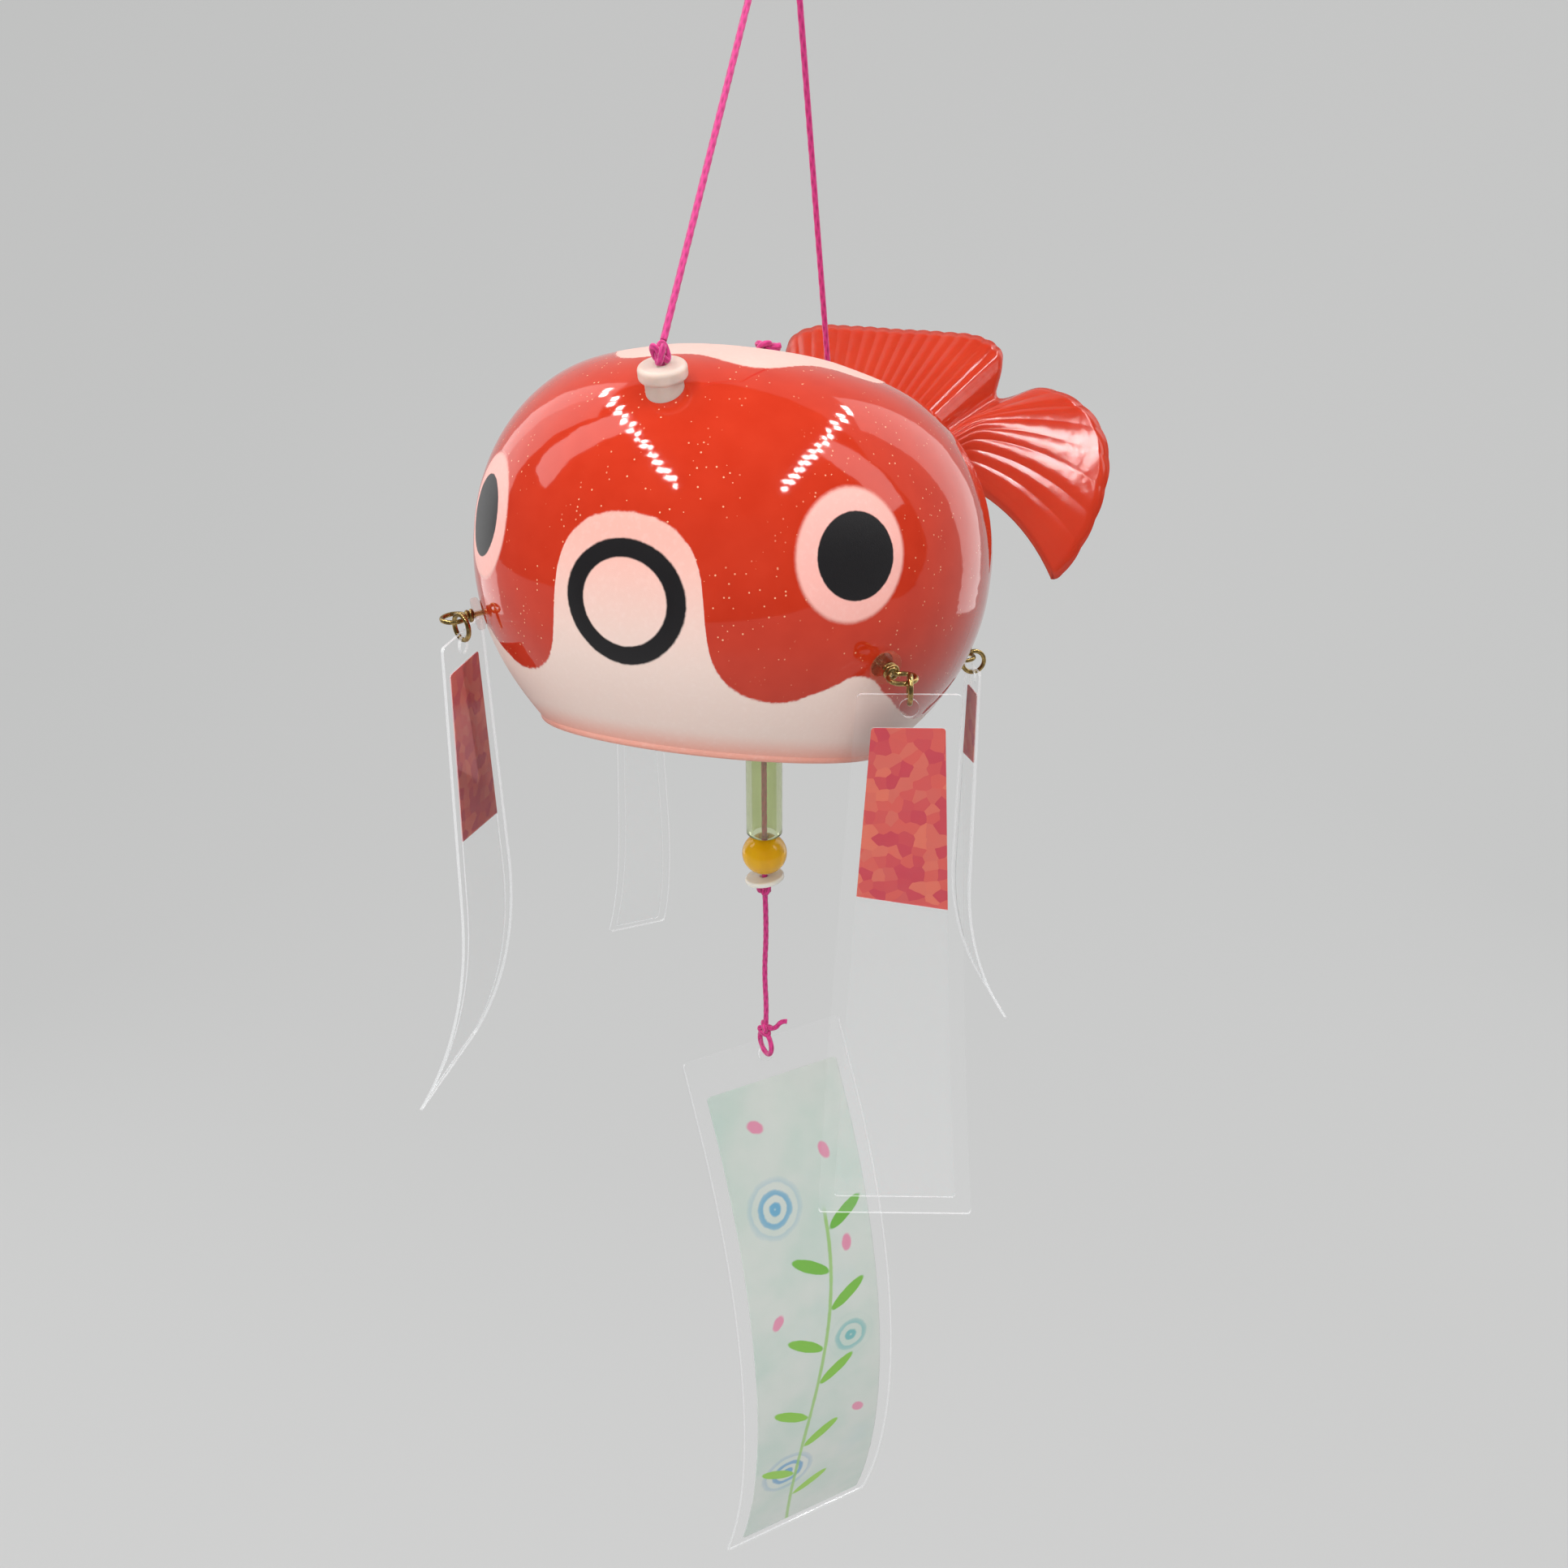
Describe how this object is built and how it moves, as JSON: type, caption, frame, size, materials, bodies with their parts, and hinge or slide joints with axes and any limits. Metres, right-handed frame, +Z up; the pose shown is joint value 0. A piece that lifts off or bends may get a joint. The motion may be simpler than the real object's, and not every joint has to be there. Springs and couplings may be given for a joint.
{
  "type": "wind bell",
  "caption": "Hanging glass wind bell shaped as a goldfish lantern, with a cord, a tube-and-bead clapper, a curled card that catches the wind and clear fins on brass rings.",
  "frame": {"origin": "middle of the rod that the hanging cord goes over", "axes": "+Z up, the fish faces -Y, +X is the right hand of someone who looks at its face"},
  "size_m": [0.1055, 0.1413, 0.3393],
  "materials": {
    "bell_glass": "glossy red cased glass with frosted pale areas and matte black paint",
    "tail_glass": "glossy ribbed red glass",
    "tube_glass": "clear pale green glass",
    "bead_glass": "glossy amber glass",
    "silicone": "milky soft plastic",
    "grommet": "clear amber soft plastic",
    "washer": "cream soft plastic",
    "cord": "braided pink cord",
    "film": "clear laminate",
    "fin_print": "clear insert with a pink scale print at its top",
    "card_print": "printed paper under laminate",
    "brass": "aged brass wire"
  },
  "bodies": {
    "hang_cord": {"hang_cord": "cord"},
    "bell": {"glass_body": "bell_glass", "tail_fin": "tail_glass", "front_plug": "silicone", "rear_plug": "silicone", "clapper_plug": "silicone", "front_knot": "cord", "rear_knot": "cord", "front_inner_knot": "cord", "rear_inner_knot": "cord", "clapper_top_knot": "cord", "front_right_grommet": "grommet", "front_left_grommet": "grommet", "rear_right_grommet": "grommet", "rear_left_grommet": "grommet", "front_right_screw_eye": "brass", "front_left_screw_eye": "brass", "rear_right_screw_eye": "brass", "rear_left_screw_eye": "brass"},
    "clapper_upper": {"clapper_cord_upper": "cord"},
    "clapper": {"clapper_cord": "cord", "stop_washer": "washer", "stop_knot": "cord"},
    "tube": {"clapper_tube": "tube_glass"},
    "bead": {"clapper_bead": "bead_glass"},
    "pull": {"pull_cord": "cord"},
    "card_loop": {"tanzaku_knot": "cord"},
    "card": {"tanzaku_film": "film", "tanzaku_print": "card_print"},
    "front_right_ring": {"front_right_jump_ring": "brass"},
    "front_right_fin": {"front_right_fin_film": "film", "front_right_fin_insert": "fin_print"},
    "front_left_ring": {"front_left_jump_ring": "brass"},
    "front_left_fin": {"front_left_fin_film": "film", "front_left_fin_insert": "fin_print"},
    "rear_right_ring": {"rear_right_jump_ring": "brass"},
    "rear_right_fin": {"rear_right_fin_film": "film", "rear_right_fin_insert": "fin_print"},
    "rear_left_ring": {"rear_left_jump_ring": "brass"},
    "rear_left_fin": {"rear_left_fin_film": "film", "rear_left_fin_insert": "fin_print"}
  },
  "joints": [
    {"name": "bell_sway", "type": "hinge", "parent": "hang_cord", "child": "bell", "pos_m": [0, -0.0519, -0.05868], "axis": [0, 0.9538, -0.3006], "range_deg": [-20, 20]},
    {"name": "clapper_sway", "type": "hinge", "parent": "bell", "child": "clapper_upper", "pos_m": [0, -0.01087, -0.07244], "axis": [0, 1, 0], "range_deg": [-9, 9]},
    {"name": "clapper_swing", "type": "hinge", "parent": "clapper_upper", "child": "clapper", "pos_m": [0, -0.01087, -0.08059], "axis": [1, 0, 0], "range_deg": [-30, 2]},
    {"name": "tube_turn", "type": "hinge", "parent": "clapper", "child": "tube", "pos_m": [0, -0.01087, -0.16977], "axis": [0, 0, 1], "continuous": true},
    {"name": "bead_turn", "type": "hinge", "parent": "clapper", "child": "bead", "pos_m": [0, -0.01087, -0.16977], "axis": [0, 0, 1], "continuous": true},
    {"name": "pull_swing", "type": "hinge", "parent": "clapper", "child": "pull", "pos_m": [0, -0.01087, -0.16977], "axis": [1, 0, 0], "range_deg": [-25, 25]},
    {"name": "card_turn", "type": "hinge", "parent": "pull", "child": "card_loop", "pos_m": [0, -0.01087, -0.20317], "axis": [0, 0, 1], "continuous": true},
    {"name": "card_rock", "type": "hinge", "parent": "card_loop", "child": "card", "pos_m": [0, -0.01087, -0.20917], "axis": [-0.749, 0.6626, 0], "range_deg": [-15, 15]},
    {"name": "front_right_ring_swing", "type": "hinge", "parent": "bell", "child": "front_right_ring", "pos_m": [0.03975, -0.05462, -0.10334], "axis": [-0.9455, -0.3256, 0], "range_deg": [-8, 45]},
    {"name": "front_right_fin_rock", "type": "hinge", "parent": "front_right_ring", "child": "front_right_fin", "pos_m": [0.03975, -0.05462, -0.10649], "axis": [0.3256, -0.9455, 0], "range_deg": [-12, 12]},
    {"name": "front_left_ring_swing", "type": "hinge", "parent": "bell", "child": "front_left_ring", "pos_m": [-0.03505, -0.05576, -0.10275], "axis": [-0.454, -0.891, 0], "range_deg": [-12, 6]},
    {"name": "front_left_fin_rock", "type": "hinge", "parent": "front_left_ring", "child": "front_left_fin", "pos_m": [-0.03505, -0.05576, -0.1059], "axis": [0.891, -0.454, 0], "range_deg": [-12, 4]},
    {"name": "rear_right_ring_swing", "type": "hinge", "parent": "bell", "child": "rear_right_ring", "pos_m": [0.03494, 0.00824, -0.12312], "axis": [0.5299, -0.848, 0], "range_deg": [-8, 45]},
    {"name": "rear_right_fin_rock", "type": "hinge", "parent": "rear_right_ring", "child": "rear_right_fin", "pos_m": [0.03494, 0.00824, -0.12627], "axis": [0.848, 0.5299, 0], "range_deg": [-12, 12]},
    {"name": "rear_left_ring_swing", "type": "hinge", "parent": "bell", "child": "rear_left_ring", "pos_m": [-0.03494, 0.00824, -0.12312], "axis": [0.7373, 0.6756, 0], "range_deg": [-8, 45]},
    {"name": "rear_left_fin_rock", "type": "hinge", "parent": "rear_left_ring", "child": "rear_left_fin", "pos_m": [-0.03494, 0.00824, -0.12627], "axis": [-0.6756, 0.7373, 0], "range_deg": [-12, 12]}
  ]
}
